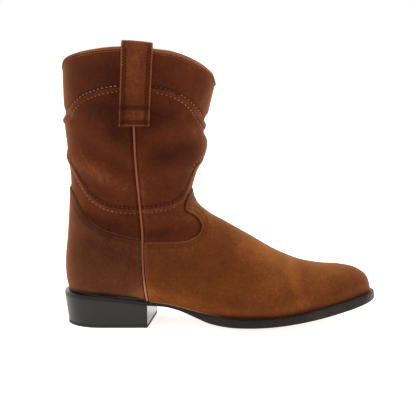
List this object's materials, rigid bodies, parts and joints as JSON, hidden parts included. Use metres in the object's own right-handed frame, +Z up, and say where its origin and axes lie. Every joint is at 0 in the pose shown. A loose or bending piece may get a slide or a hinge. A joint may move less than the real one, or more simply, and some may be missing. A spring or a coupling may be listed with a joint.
{
  "type": "western boot",
  "caption": "Pull-on western boot: suede upper on a welted sole with toe spring, rounded toe, low block heel, dipped collar, corded side seams and pull straps.",
  "frame": {"origin": "on the floor under the middle of the boot's box", "axes": "+X towards the toe, -Y towards the outer side of the foot, +Z up"},
  "size_m": [0.3, 0.0994, 0.2689],
  "materials": {
    "suede": "brown suede with a short cloudy nap, matt",
    "piping": "smooth red-brown cord, satin",
    "sole_edge": "edges stained charcoal brown and burnished to a satin",
    "top_lift": "black wearing piece, matt",
    "insole": "plain tan board, satin"
  },
  "bodies": {
    "root": {"outsole": "sole_edge", "heel": "sole_edge", "top_lift": "top_lift", "insole": "insole", "upper": "suede", "vamp": "suede", "counter": "suede", "collar_binding": "suede", "side_piping_outer": "piping", "side_piping_inner": "piping", "pull_strap_outer": "suede", "pull_strap_inner": "suede"}
  },
  "joints": []
}
